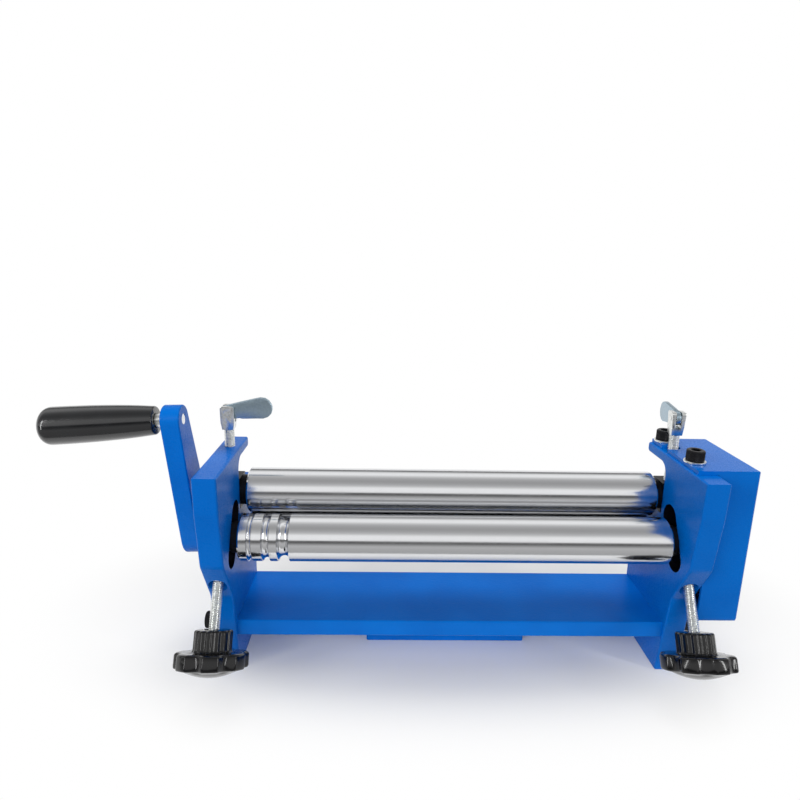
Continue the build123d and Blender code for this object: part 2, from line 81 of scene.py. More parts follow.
camera = bpy.data.objects.new("camera", bpy.data.cameras.new("camera"))
camera.matrix_world = Matrix.Translation(eye) @ Matrix((right, -down, -ahead)).transposed().to_4x4()
camera.data.sensor_width = 36
camera.data.lens = 36 * lens_in_pixels / picture_width
camera.data.clip_start = 0.01
bpy.context.scene.collection.objects.link(camera)
bpy.context.scene.camera = camera
print("lens in mm:", round(camera.data.lens, 2))

# %% [markdown]
# ## Three small helpers
#
# Colours are written as the six-digit values that a paint program shows. A shader wants them
# as amounts of light, so one function turns them over. A second one adds a node with its
# settings and its links, for materials and for Geometry Nodes alike. A third starts a
# material from one shader and hands back the point on the part, in metres, which every
# pattern below is measured in.

# %% Colours and nodes
def light_of(hex_colour):
    """A six-digit colour as the amounts of light that a shader takes."""
    shown = [int(hex_colour[i:i + 2], 16) / 255 for i in (0, 2, 4)]
    return [v / 12.92 if v <= 0.04045 else ((v + 0.055) / 1.055) ** 2.4 for v in shown] + [1.0]


def add(tree, kind, inputs=None, **settings):
    """Adds a node. Each input is a value, or the socket or the one-output node that feeds it."""
    node = tree.nodes.new(kind)
    for name, value in settings.items():
        setattr(node, name, value)
    for name, value in (inputs or {}).items():
        if isinstance(value, bpy.types.Node):
            value = value.outputs[0]
        if isinstance(value, bpy.types.NodeSocket):
            tree.links.new(value, node.inputs[name])
        else:
            node.inputs[name].default_value = value
    return node


def start_finish(name, **looks):
    """A new material: itself, its nodes, its shader and the point on the part."""
    finish = bpy.data.materials.new(name)
    finish.use_nodes = True
    tree = finish.node_tree
    tree.nodes.clear()
    shader = add(tree, "ShaderNodeBsdfPrincipled", {key.replace("_", " "): v
                                                    for key, v in looks.items()})
    add(tree, "ShaderNodeOutputMaterial", {"Surface": shader.outputs["BSDF"]})
    point = add(tree, "ShaderNodeTexCoord").outputs["Object"]
    return finish, tree, shader, point


print("white is", light_of("FFFFFF"), "and mid grey is", round(light_of("808080")[0], 3))

# %% [markdown]
# ## Blue enamel on cast iron
#
# The end frames, base, crank arm and gear cover are sprayed with thick gloss enamel. Cast iron
# has a pebbled skin, and thick paint flows over it into soft waves, called orange peel. The
# eye reads both from broken highlights, so the colour stays nearly even and the detail goes
# into bump and gloss: waves about 2.5 mm apart, and pebbles of about 0.7 mm on top.
#
# The walls of the bearing slots and notches lie deep in shade, so they get a painted shade,
# nearly black in place of the blue. Two small boxes round them say where the painted shade goes.

# %% Where the slot walls get painted shade
slot_lean = radians(30)
slot_middle, slot_half = (-0.10265, 0.0746), (0.0106, 0.0255)  # across and along the slot
notch_middle, notch_half = (-0.0181, 0.1465), (0.0099, 0.0206)  # along Y and Z
frame_middle, frame_half = 0.1745, 0.0084  # along X


def shaded_slot_walls(tree, point):
    """Is 1 on the walls of the bearing slots and notches, where shade is painted nearly black."""
    upright = add(tree, "ShaderNodeMapping", {"Vector": point, "Rotation": (slot_lean, 0, 0)})
    place = add(tree, "ShaderNodeSeparateXYZ", {"Vector": point}).outputs
    sideways = add(tree, "ShaderNodeMath", {0: place["X"]}, operation="ABSOLUTE")
    within = add(tree, "ShaderNodeMath", {0: sideways, 1: frame_middle, 2: frame_half},
                 operation="COMPARE")
    boxes = []
    for seen, middle, half in ((upright, slot_middle, slot_half), (point, notch_middle, notch_half)):
        own = add(tree, "ShaderNodeSeparateXYZ", {"Vector": seen}).outputs
        inside = within
        for axis, centre, reach in zip("YZ", middle, half):
            near = add(tree, "ShaderNodeMath", {0: own[axis], 1: centre, 2: reach}, operation="COMPARE")
            inside = add(tree, "ShaderNodeMath", {0: inside, 1: near}, operation="MULTIPLY")
        boxes.append(inside)
    return add(tree, "ShaderNodeMath", {0: boxes[0], 1: boxes[1]}, operation="MAXIMUM")


print("width in mm, slot:", round(slot_half[0] / mm * 2, 1), "notch:", round(notch_half[0] / mm * 2, 1))


# %% The enamel
def enamel(name, peel, pebbles, gloss):
    """Blue gloss enamel. peel and pebbles are how strongly each texture shows."""
    finish, tree, shader, point = start_finish(name, Metallic=0.0, IOR=1.5, Specular_IOR_Level=0.1,
                                               Coat_Weight=0.03, Coat_Roughness=0.06)
    waves = add(tree, "ShaderNodeTexNoise", {"Vector": point, "Scale": 1 / 0.0025, "Detail": 1.5})
    grains = add(tree, "ShaderNodeTexNoise", {"Vector": point, "Scale": 1 / 0.0007, "Detail": 2.0})
    patches = add(tree, "ShaderNodeTexNoise", {"Vector": point, "Scale": 1 / 0.06, "Detail": 2.0})
    colour = add(tree, "ShaderNodeValToRGB", {"Fac": patches.outputs["Fac"]})
    colour.color_ramp.elements[0].position, colour.color_ramp.elements[1].position = 0.3, 0.7
    colour.color_ramp.elements[0].color = light_of("0061BC")
    colour.color_ramp.elements[1].color = light_of("006CCA")
    # Painted shade: the slot and notch walls are coloured nearly black over the blue.
    shown = add(tree, "ShaderNodeMix", {"Factor": shaded_slot_walls(tree, point), 6: colour.outputs["Color"],
                                        7: light_of("0B0B12")}, data_type="RGBA")
    tree.links.new(shown.outputs[2], shader.inputs["Base Color"])
    shine = add(tree, "ShaderNodeMapRange", {"Value": grains.outputs["Fac"], "From Min": 0.35,
                                             "From Max": 0.7, "To Min": gloss, "To Max": gloss + 0.12})
    tree.links.new(shine.outputs["Result"], shader.inputs["Roughness"])
    soft = add(tree, "ShaderNodeBump", {"Height": waves.outputs["Fac"], "Strength": peel,
                                        "Distance": 0.0004})
    rough = add(tree, "ShaderNodeBump", {"Height": grains.outputs["Fac"], "Strength": pebbles,
                                         "Distance": 0.0002, "Normal": soft})
    tree.links.new(rough.outputs["Normal"], shader.inputs["Normal"])
    return finish


cast_enamel = enamel("gloss enamel over sand-cast iron", 0.5, 0.35, 0.24)
plate_enamel = enamel("gloss enamel over flat steel bar", 0.35, 0.5, 0.3)
sheet_enamel = enamel("gloss enamel over folded sheet steel", 0.22, 0.1, 0.22)
print("enamels:", cast_enamel.name, "|", plate_enamel.name, "|", sheet_enamel.name)

# %% [markdown]
# ## Ground and machined steel
#
# The rollers are turned and then ground, which leaves very fine rings round the barrel. They
# blur a reflection along the roller and keep it sharp across. The rings are really about
# 0.05 mm apart. They are drawn 0.4 mm apart here, or the picture would not show them. The
# gears are plain machined steel with coarser marks.

# %% The steels
def machined(name, hex_colour, roughness, ring_spacing, ring_depth):
    """Bare steel with tool marks that run round the X axis."""
    finish, tree, shader, point = start_finish(name, Metallic=1.0)
    shader.inputs["Base Color"].default_value = light_of(hex_colour)
    stretched = add(tree, "ShaderNodeMapping", {"Vector": point,
                                                "Scale": (1 / ring_spacing, 12.0, 12.0)})
    rings = add(tree, "ShaderNodeTexNoise", {"Vector": stretched, "Scale": 1.0, "Detail": 3.0})
    smears = add(tree, "ShaderNodeTexNoise", {"Vector": point, "Scale": 1 / 0.03, "Detail": 3.0})
    mixed = add(tree, "ShaderNodeMath", {0: rings.outputs["Fac"], 1: smears.outputs["Fac"]},
                operation="ADD")
    shine = add(tree, "ShaderNodeMapRange", {"Value": mixed.outputs["Value"], "From Min": 0.7,
                                             "From Max": 1.3, "To Min": roughness - 0.04,
                                             "To Max": roughness + 0.06})
    tree.links.new(shine.outputs["Result"], shader.inputs["Roughness"])
    marks = add(tree, "ShaderNodeBump", {"Height": rings.outputs["Fac"], "Strength": 0.5,
                                         "Distance": ring_depth})
    tree.links.new(marks.outputs["Normal"], shader.inputs["Normal"])
    return finish


ground_steel = machined("ground roller steel", "E2E3E5", 0.15, 0.0004, 0.00001)
gear_steel = machined("machined gear steel", "A8AAAC", 0.34, 0.0008, 0.00004)
print("steels:", ground_steel.name, "|", gear_steel.name)

# %% [markdown]
# ## The other metals and the plastics
#
# Bright zinc plating has a fine cloudy crystal pattern and a trace of green. Black oxide is a
# thin dull film on steel. The folding levers are stamped steel, tumbled to a blue-grey satin.
# The crank grip and star knobs are moulded phenolic plastic, black and very glossy, and hands
# keep the grip the shinier of the two. The bushes are sintered bronze, which is porous, and the
# spacers between roller and frame are turned from black nylon. One helper makes them all from a
# clouded metal or plastic.

# %% Clouded finishes
def clouded(name, dark, pale, roughness, spread, grain, bump, **looks):
    """A finish whose colour and gloss vary in small clouds, grain metres across."""
    finish, tree, shader, point = start_finish(name, **looks)
    clouds = add(tree, "ShaderNodeTexNoise", {"Vector": point, "Scale": 1 / grain, "Detail": 4.0})
    colour = add(tree, "ShaderNodeValToRGB", {"Fac": clouds.outputs["Fac"]})
    colour.color_ramp.elements[0].position, colour.color_ramp.elements[1].position = 0.35, 0.65
    colour.color_ramp.elements[0].color = light_of(dark)
    colour.color_ramp.elements[1].color = light_of(pale)
    tree.links.new(colour.outputs["Color"], shader.inputs["Base Color"])
    shine = add(tree, "ShaderNodeMapRange", {"Value": clouds.outputs["Fac"], "From Min": 0.3,
                                             "From Max": 0.7, "To Min": roughness - spread,
                                             "To Max": roughness + spread})
    tree.links.new(shine.outputs["Result"], shader.inputs["Roughness"])
    skin = add(tree, "ShaderNodeBump", {"Height": clouds.outputs["Fac"], "Strength": 0.5,
                                        "Distance": bump})
    tree.links.new(skin.outputs["Normal"], shader.inputs["Normal"])
    return finish


bright_zinc = clouded("bright zinc plate", "D9DCDA", "F2F3F2", 0.3, 0.04, 0.002, 0.000006, Metallic=1.0)
satin_steel = clouded("tumbled satin steel", "A3B7C4", "AFC2CE", 0.36, 0.03, 0.0015, 0.000008,
                      Metallic=1.0)
black_oxide = clouded("black oxide on steel", "131315", "1F1F22", 0.38, 0.08, 0.0009, 0.00004,
                      Metallic=0.7)
bronze = clouded("sintered bronze", "9C7A45", "BE9A5F", 0.42, 0.06, 0.0006, 0.00004, Metallic=1.0)
phenolic = clouded("moulded black phenolic", "030304", "060608", 0.16, 0.04, 0.012, 0.00008,
                   Metallic=0.0, IOR=1.5, Specular_IOR_Level=0.3, Coat_Weight=0.3,
                   Coat_Roughness=0.04)
grip_phenolic = clouded("hand-polished black phenolic", "040508", "07090D", 0.22, 0.04, 0.012,
                        0.00006, Metallic=0.0, IOR=1.5, Specular_IOR_Level=0.5, Coat_Weight=0.7,
                        Coat_Roughness=0.05)
nylon = clouded("turned black nylon", "060608", "0C0C0F", 0.5, 0.06, 0.001, 0.00003, Metallic=0.0,
                IOR=1.5, Specular_IOR_Level=0.2)
others = (bright_zinc, satin_steel, black_oxide, bronze, phenolic, grip_phenolic, nylon)
print("other finishes:", [finish.name for finish in others])

# %% [markdown]
# ## Give every solid its finish
#
# Every solid of the model gets a finish first, also those that a finer piece replaces below.
# Each line names a finish and the beginnings of the names of the parts that wear it.

# %% Dress the solids
dressing = [
    (cast_enamel, ("left_frame", "right_frame", "crank_arm")),
    (plate_enamel, ("base_plate", "vise_block")),
    (sheet_enamel, ("gear_cover",)),
    (ground_steel, ("lower_roller", "upper_roller", "bending_roller", "handle_spindle")),
    (gear_steel, ("lower_gear", "upper_gear")),
    (bright_zinc, ("wing_screw", "wing_pin", "knob_screw", "cover_washers", "base_washers",
                   "handle_collar")),
    (satin_steel, ("wing_lever",)),
    (black_oxide, ("cover_screws", "base_bolts", "vise_block_screws", "crank_set_screw",
                   "lower_gear_clip", "upper_gear_clip", "crank_collar", "upper_block",
                   "bending_block")),
    (bronze, ("lower_bush",)),
    (phenolic, ("star_knob",)),
    (grip_phenolic, ("handle_grip",)),
    (nylon, ("lower_spacers", "upper_spacers", "bending_spacers")),
]
worn = {}
for finish, beginnings in dressing:
    for name, solid in solids.items():
        if name.startswith(beginnings):
            solid.data.materials.clear()
            solid.data.materials.append(finish)
            worn[name] = finish
print("dressed:", len(worn), "bare:", sorted(set(solids) - set(worn)))

# %% [markdown]
# ## Helpers for new pieces
#
# A new piece is built where it stands. One function turns a list of points into a finished
# piece: it rides on the body that carries it, hides the solid that it replaces, and takes
# that solid's finish. Another skins a stack of rings, each a list of points, which is how a
# lathe or a mould makes most of the round parts here.

# %% Rings and pieces
body_of_solid = {name: body for body, names in frame["record"]["behaviour"]["bodies"].items()
                 for name in names}
joints = {joint["name"]: joint for joint in frame["record"]["behaviour"]["joints"]}


def centre_of(name):
    """The middle of a solid's box."""
    low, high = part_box(name)
    return (low + high) / 2


def finish_piece(name, mesh, solid, crease=35, also=()):
    """Makes a mesh a piece of the machine that stands for a solid."""
    piece = bpy.data.objects.new(name, mesh)
    bpy.context.scene.collection.objects.link(piece)
    if not mesh.materials:
        mesh.materials.append(worn[solid])
    mesh.shade_smooth()
    mesh.set_sharp_from_angle(angle=radians(crease))
    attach(piece, body_of_solid[solid])
    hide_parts(solid, *also)
    return piece


def skin(rings, place, closed=False):
    """A mesh over a stack of rings. A ring of one point closes the end like a pole."""
    work = bmesh.new()
    stack = [[work.verts.new(place @ Vector(point)) for point in ring] for ring in rings]
    for first, second in zip(stack, stack[1:] + ([stack[0]] if closed else [])):
        count = max(len(first), len(second))
        for i in range(count):
            j = (i + 1) % count
            if len(first) == 1:
                corners = (first[0], second[i], second[j])
            elif len(second) == 1:
                corners = (first[i], second[0], first[j])
            else:
                corners = (first[i], second[i], second[j], first[j])
            work.faces.new(corners)
    bmesh.ops.recalc_face_normals(work, faces=work.faces)
    mesh = bpy.data.meshes.new("skin")
    work.to_mesh(mesh)
    work.free()
    return mesh


def ring(height, radius, count=96):
    """A level ring of points, or a single point where the radius is nothing."""
    if radius == 0:
        return [(0, 0, height)]
    return [(radius * cos(tau * i / count), radius * sin(tau * i / count), height) for i in range(count)]


def turned(outline, place, count=96, closed=False):
    """A part off the lathe, from an outline of (height, radius) in millimetres."""
    return skin([ring(h * mm, r * mm, count) for h, r in outline], place, closed)


def facing(origin, direction, towards=(1, 0, 0)):
    """A place whose own Z points along a direction, and X along towards as nearly as it can."""
    z = Vector(direction).normalized()
    y = z.cross(Vector(towards)).normalized()
    return Matrix.Translation(origin) @ Matrix((y.cross(z), y, z)).transposed().to_4x4()


print("solids on bodies:", len(body_of_solid))

# %% [markdown]
# ## The rollers
#
# A roller is a turned part, so its outline is all there is to draw: shaft, shoulder, a small
# chamfer, and the barrel. 160 sides are enough for the reflections to run straight. The
# bending roller has three half-round grooves at the crank end, for bending wire. They are 3.8,
# 5.8 and 8.7 mm wide, and each is as deep as half its width.

# %% Turn the rollers
barrel_half, barrel_r, edge_break, roller_sides = 160, 17.5, 1.2, 160
shaft_end, shaft_r, shaft_break = 183, 7, 0.8
gear_end, gear_break = 205.5, 1
crank_end, crank_r, crank_break = 211.2, 8, 0.6
journal_end, journal_r = 183.5, 10
along_x = (1, 0, 0)


def groove(start, width, steps=14):
    """Outline points of a half-round groove."""
    half = width / 2
    return [(start + half - half * cos(pi * i / steps), barrel_r - half * sin(pi * i / steps))
            for i in range(steps + 1)]


def roller(name, left, right, grooves=()):
    """A roller with a shaft at its left and its right, each given as (x, radius) from left to right."""
    middle = centre_of(name)
    place = facing((0, middle.y, middle.z), along_x, (0, 1, 0))
    outline = [(left[0][0], 0)] + left
    outline += [(-barrel_half, left[-1][1]), (-barrel_half, barrel_r - edge_break),
                (-barrel_half + edge_break, barrel_r)]
    for start, width in grooves:
        outline += groove(start, width)
    outline += [(barrel_half - edge_break, barrel_r), (barrel_half, barrel_r - edge_break),
                (barrel_half, right[0][1])]
    outline += right + [(right[-1][0], 0)]
    return finish_piece(f"{name}_turned", turned(outline, place, roller_sides), name)


wire_grooves, x = [], -barrel_half
for land, width in ((6.6, 3.8), (6.9, 5.8), (5.5, 8.7)):
    wire_grooves.append((x + land, width))
    x += land + width
left_shaft = [(-shaft_end, shaft_r - shaft_break), (-shaft_end + shaft_break, shaft_r)]
right_shaft = [(shaft_end - shaft_break, shaft_r), (shaft_end, shaft_r - shaft_break)]
gear_shaft = [(gear_end - gear_break, shaft_r), (gear_end, shaft_r - gear_break)]
crank_shaft = [(-crank_end, crank_r - crank_break), (-crank_end + crank_break, crank_r),
               (-journal_end, crank_r), (-journal_end, journal_r)]
bending = roller("bending_roller", left_shaft, right_shaft, wire_grooves)
upper = roller("upper_roller", left_shaft, gear_shaft)
lower = roller("lower_roller", crank_shaft, [(journal_end, journal_r), (journal_end, shaft_r)] + gear_shaft)
print("barrel faces:", [len(piece.data.polygons) for piece in (bending, upper, lower)])

# %% [markdown]
# ## Screw threads
#
# The wing screws and knob screws are M8, with a 1.25 mm pitch. A thread is a groove that winds
# round a bar, so Geometry Nodes can make it from a flat grid: one side of the grid is bent
# round the bar, the other runs along it, and the radius follows the height less the angle.
# The tree has named inputs for the length, the diameter and the pitch, so one tree makes every
# screw. The two ends close to a point and are chamfered, as a die leaves them.

# %% The thread tree
thread_tree = bpy.data.node_groups.new("rolled thread", "GeometryNodeTree")
thread_tree.interface.new_socket("Screw", in_out="OUTPUT", socket_type="NodeSocketGeometry")
thread_inputs = {}
for label, kind, usual in (("Length", "Float", 0.04), ("Diameter", "Float", 0.008),
                           ("Pitch", "Float", 0.00125), ("Depth", "Float", 0.00055),
                           ("Sides", "Int", 40), ("Finish", "Material", None)):
    socket = thread_tree.interface.new_socket(label, in_out="INPUT", socket_type=f"NodeSocket{kind}")
    if usual is not None:
        socket.default_value = usual
    thread_inputs[label] = socket.identifier
given = add(thread_tree, "NodeGroupInput").outputs
grid = add(thread_tree, "GeometryNodeMeshGrid", {"Size X": 1.0, "Size Y": 1.0})
flat = add(thread_tree, "ShaderNodeSeparateXYZ",
           {"Vector": add(thread_tree, "GeometryNodeInputPosition")}).outputs
print("thread inputs:", list(thread_inputs))

# %% The sums of the thread
# Each row is one sum: its name, what it does, and the one or two things it works on, which are
# an input, an earlier sum or a number.
rows_a_turn, flank, nearly_nothing = 8, 2.4, 0.00001
sums = {label: given[label] for label in ("Length", "Diameter", "Pitch", "Depth", "Sides")}
sums["flat round"], sums["flat along"] = flat["X"], flat["Y"]
for name, kind, *ends in (
        ("turns", "DIVIDE", "Length", "Pitch"),
        ("rows", "MULTIPLY", "turns", rows_a_turn),
        ("columns", "ADD", "Sides", 1),
        ("part round", "ADD", "flat round", 0.5),
        ("part along", "ADD", "flat along", 0.5),
        ("height", "MULTIPLY", "part along", "Length"),
        ("turns so far", "DIVIDE", "height", "Pitch"),
        ("wound back", "SUBTRACT", "turns so far", "part round"),
        ("winding", "FRACT", "wound back"),
        ("off crest", "SUBTRACT", "winding", 0.5),
        ("from crest", "ABSOLUTE", "off crest"),
        ("down flank", "MULTIPLY", "from crest", flank),
        ("share of depth", "MINIMUM", "down flank", 1),
        ("cut", "MULTIPLY", "share of depth", "Depth"),
        ("bar radius", "MULTIPLY", "Diameter", 0.5),
        ("threaded", "SUBTRACT", "bar radius", "cut"),
        ("still to go", "SUBTRACT", "Length", "height"),
        ("to end", "MINIMUM", "height", "still to go"),
        ("core radius", "SUBTRACT", "bar radius", "Depth"),
        ("chamfered", "ADD", "core radius", "to end"),
        ("open radius", "MINIMUM", "threaded", "chamfered"),
        ("not at end", "GREATER_THAN", "to end", nearly_nothing),
        ("radius", "MULTIPLY", "open radius", "not at end"),
        ("angle", "MULTIPLY", "part round", tau),
        ("cosine", "COSINE", "angle"),
        ("sine", "SINE", "angle"),
        ("x", "MULTIPLY", "radius", "cosine"),
        ("y", "MULTIPLY", "radius", "sine")):
    terms = {place: sums.get(end, end) for place, end in enumerate(ends)}
    sums[name] = add(thread_tree, "ShaderNodeMath", terms, operation=kind)
thread_tree.links.new(sums["columns"].outputs["Value"], grid.inputs["Vertices X"])
thread_tree.links.new(sums["rows"].outputs["Value"], grid.inputs["Vertices Y"])
print("sums:", len(sums))

# %% Wind the grid and close its ends
bent = add(thread_tree, "ShaderNodeCombineXYZ", {"X": sums["x"], "Y": sums["y"], "Z": sums["height"]})
wound = add(thread_tree, "GeometryNodeSetPosition", {"Geometry": grid.outputs["Mesh"], "Position": bent})
sealed = add(thread_tree, "GeometryNodeMergeByDistance", {"Geometry": wound, "Distance": 0.000002})
real = add(thread_tree, "GeometryNodeRealizeInstances", {"Geometry": sealed})
plated = add(thread_tree, "GeometryNodeSetMaterial", {"Geometry": real, "Material": given["Finish"]})
add(thread_tree, "NodeGroupOutput", {"Screw": plated})
print("thread tree:", len(thread_tree.nodes), "nodes")


# %% Run a tree once
def grown(tree, identifiers, place, seed=None, **values):
    """The mesh that a tree makes from named inputs, and a seed mesh if it needs one, in its place."""
    empty = bpy.data.objects.new("seed", seed or bpy.data.meshes.new("seed"))
    bpy.context.scene.collection.objects.link(empty)
    growth = empty.modifiers.new("growth", "NODES")
    growth.node_group = tree
    for label, value in values.items():
        growth[identifiers[label]] = value
    mesh = bpy.data.meshes.new_from_object(empty.evaluated_get(bpy.context.evaluated_depsgraph_get()))
    bpy.data.objects.remove(empty)
    mesh.transform(place)
    return mesh


short_screw = grown(thread_tree, thread_inputs, Matrix.Identity(4), Length=10 * mm, Finish=bright_zinc)
print("faces of a screw 10 mm long:", len(short_screw.polygons))

# %% [markdown]
# ## The wing screws
#
# Each wing screw is a threaded stud with a fork on top, and a lever that folds over on a pin
# in the fork. The fork's solid has the right shape but sharp edges, and the real one is forged
# and tumbled, so a copy of it is cut free from its stud and its edges are rounded. Then it is
# joined to a stud with a real thread.

# %% Wing screws
def joined(meshes):
    """One mesh out of several."""
    work = bmesh.new()
    for mesh in meshes:
        work.from_mesh(mesh)
    result = bpy.data.meshes.new("joined")
    work.to_mesh(result)
    work.free()
    return result


def rounded(mesh, width, segments=2, angle=30):
    """The mesh with its edges rounded by a bevel."""
    block = bpy.data.objects.new("block", mesh)
    bpy.context.scene.collection.objects.link(block)
    edge = block.modifiers.new("edge", "BEVEL")
    edge.width, edge.segments = width, segments
    edge.limit_method, edge.angle_limit = "ANGLE", radians(angle)
    result = bpy.data.meshes.new_from_object(block.evaluated_get(bpy.context.evaluated_depsgraph_get()))
    bpy.data.objects.remove(block)
    return result


def merged_copy(name):
    """A solid's mesh with its loose triangles joined into flat faces."""
    work = bmesh.new()
    work.from_mesh(solids[name].data)
    bmesh.ops.remove_doubles(work, verts=work.verts, dist=0.000005)
    bmesh.ops.dissolve_limit(work, angle_limit=radians(1), verts=work.verts, edges=work.edges)
    mesh = bpy.data.meshes.new(name)
    work.to_mesh(mesh)
    work.free()
    return mesh


fork_foot, overlap, forged_edge = 188.4 * mm, 0.3 * mm, 0.6 * mm
for side in ("left", "right"):
    name = f"wing_screw_{side}"
    stud_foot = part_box(name)[0].z
    middle = centre_of(f"wing_pin_{side}")
    fork = merged_copy(name)
    work = bmesh.new()
    work.from_mesh(fork)
    cut_line = bmesh.ops.bisect_plane(work, geom=work.verts[:] + work.edges[:] + work.faces[:],
                                      plane_co=(0, 0, fork_foot), plane_no=(0, 0, 1), clear_inner=True)
    rim = [e for e in cut_line["geom_cut"] if isinstance(e, bmesh.types.BMEdge)]
    bmesh.ops.contextual_create(work, geom=rim)
    work.to_mesh(fork)
    work.free()
    fork = rounded(fork, forged_edge)
    stud = grown(thread_tree, thread_inputs, Matrix.Translation((middle.x, middle.y, stud_foot)),
                 Length=fork_foot + overlap - stud_foot, Finish=bright_zinc)
    piece = finish_piece(f"{name}_threaded", joined([fork, stud]), name)
    print(piece.name, "faces:", len(piece.data.polygons))

# %% [markdown]
# ## The knob screws and star knobs
#
# The knob screws push the bending roller's bearings up their slots, 30 degrees from upright.
# A star knob is a moulding: seven lobes that a hand can grip, a fluted neck and a domed
# underside. Each level of it is a circle with round bites taken out, so it is skinned from
# rings, and a soft minimum rounds the lobes' corners.

# %% Star knobs
up_the_slot = Vector((0, sin(slot_lean), cos(slot_lean)))
slot_axis = centre_of("bending_roller")
stud_x = centre_of("wing_pin_right").x
hub_top, screw_tip = -65.5, -8.1  # along the slot, from the bending roller's axis
bore_depth, bore_r = 10, 4.1
bites = {"neck": dict(radius=13.5, bite_centre=14.3, bite=1.9, count=14, soft=0.7),
         "lobes": dict(radius=25.8, bite_centre=31.0, bite=8.2, count=7, soft=1.8)}


def scalloped(angle, radius, bite_centre, bite, count, soft):
    """How far out a scalloped outline lies, with its corners softened."""
    off = (angle + pi / count) % (tau / count) - pi / count
    across = bite_centre * sin(off)
    if abs(across) >= bite:
        return radius
    reach = bite_centre * cos(off) - sqrt(bite ** 2 - across ** 2)
    blend = max(soft - abs(radius - reach), 0) / soft
    return min(radius, reach) - blend ** 2 * soft / 4


def level(height, kind, inset, count=196):
    """One ring of the knob, in millimetres: neck or lobes drawn in by inset, or a round of inset."""
    points = []
    for i in range(count):
        angle = tau * i / count
        out = inset if kind == "round" else scalloped(angle, **bites[kind]) - inset
        points.append((out * cos(angle) * mm, out * sin(angle) * mm, height * mm))
    return points


knob_rim, dome_r, dome_height = -25.6, 21.8, 6
knob_levels = [(-bore_depth, "round", bore_r), (0, "round", bore_r)]
knob_levels += [(height, "neck", inset) for height, inset in (
    (0, 1.3), (-0.3, 0.55), (-0.9, 0.12), (-1.6, 0), (-13.0, 0), (-14.1, -0.3), (-14.6, -1.0))]
knob_levels += [(height, "lobes", inset) for height, inset in (
    (-14.6, 4.5), (-14.6, 2.4), (-14.9, 1.2), (-15.5, 0.4), (-16.5, 0), (-24.0, 0), (-24.9, 0.25),
    (-25.4, 0.8), (knob_rim, 1.7))]
for part in (0.9, 0.8, 0.65, 0.48, 0.3, 0.12):
    knob_levels.append((knob_rim - dome_height * (1 - part ** 2), "round", dome_r * part))
for side, sign in (("left", -1), ("right", 1)):
    name, screw = f"star_knob_{side}", f"knob_screw_{side}"
    roller_end = Vector((sign * stud_x, slot_axis.y, slot_axis.z))
    place = facing(roller_end + up_the_slot * hub_top * mm, up_the_slot)
    rings = [[(0, 0, -bore_depth * mm)]] + [level(*row) for row in knob_levels]
    rings.append([(0, 0, (knob_rim - dome_height) * mm)])
    finish_piece(f"{name}_moulded", skin(rings, place), name, crease=50)

    screw_foot = hub_top - bore_depth
    stem = grown(thread_tree, thread_inputs,
                 facing(roller_end + up_the_slot * screw_foot * mm, up_the_slot),
                 Length=(screw_tip - screw_foot) * mm, Finish=bright_zinc)
    finish_piece(f"{screw}_threaded", stem, screw)
print("knob rings:", len(knob_levels) + 2)

# %% [markdown]
# ## The crank's grip
#
# The grip is a moulded barrel that swells towards its outer end and is rounded there. It is
# turned from a smooth curve through a few points, so that its highlights run without a kink.

# %% Turn the grip
grip_direction = -Vector(joints["handle_spin"]["axis"])
grip_origin = Vector(joints["handle_spin"]["pos_m"])


def curve_through(start, start_pull, end_pull, end, steps):
    """Points of a smooth curve between two outline points."""
    line = interpolate_bezier(*[Vector((*p, 0)) for p in (start, start_pull, end_pull, end)], steps)
    return [(p.x, p.y) for p in line]


bore_end, grip_bore_r, grip_sides = 76, 4.05, 128
grip_outline = [(bore_end, 0), (bore_end, grip_bore_r), (5.8, grip_bore_r), (5.8, 9.3)]
grip_outline += curve_through((5.85, 9.6), (6.0, 10.3), (6.6, 10.6), (7.4, 10.65), 6)
grip_outline += curve_through((8.4, 10.75), (28, 13.0), (55, 14), (81, 14), 24)[1:]
grip_outline += curve_through((81, 14), (86.5, 14), (90, 9.5), (90, 0), 18)[1:]
grip_mesh = turned(grip_outline, facing(grip_origin, grip_direction), grip_sides)
grip = finish_piece("handle_grip_moulded", grip_mesh, "handle_grip", crease=50)
print("grip faces:", len(grip.data.polygons))

# %% [markdown]
# ## The folding levers
#
# A lever is a stamped paddle: round at the pin and wide at its end. The outline is drawn once,
# lying along X, thickened, and its edges are rounded as tumbling leaves them. Each lever then
# gets its heading, turned from X towards the back, and its rise above level, both in degrees.

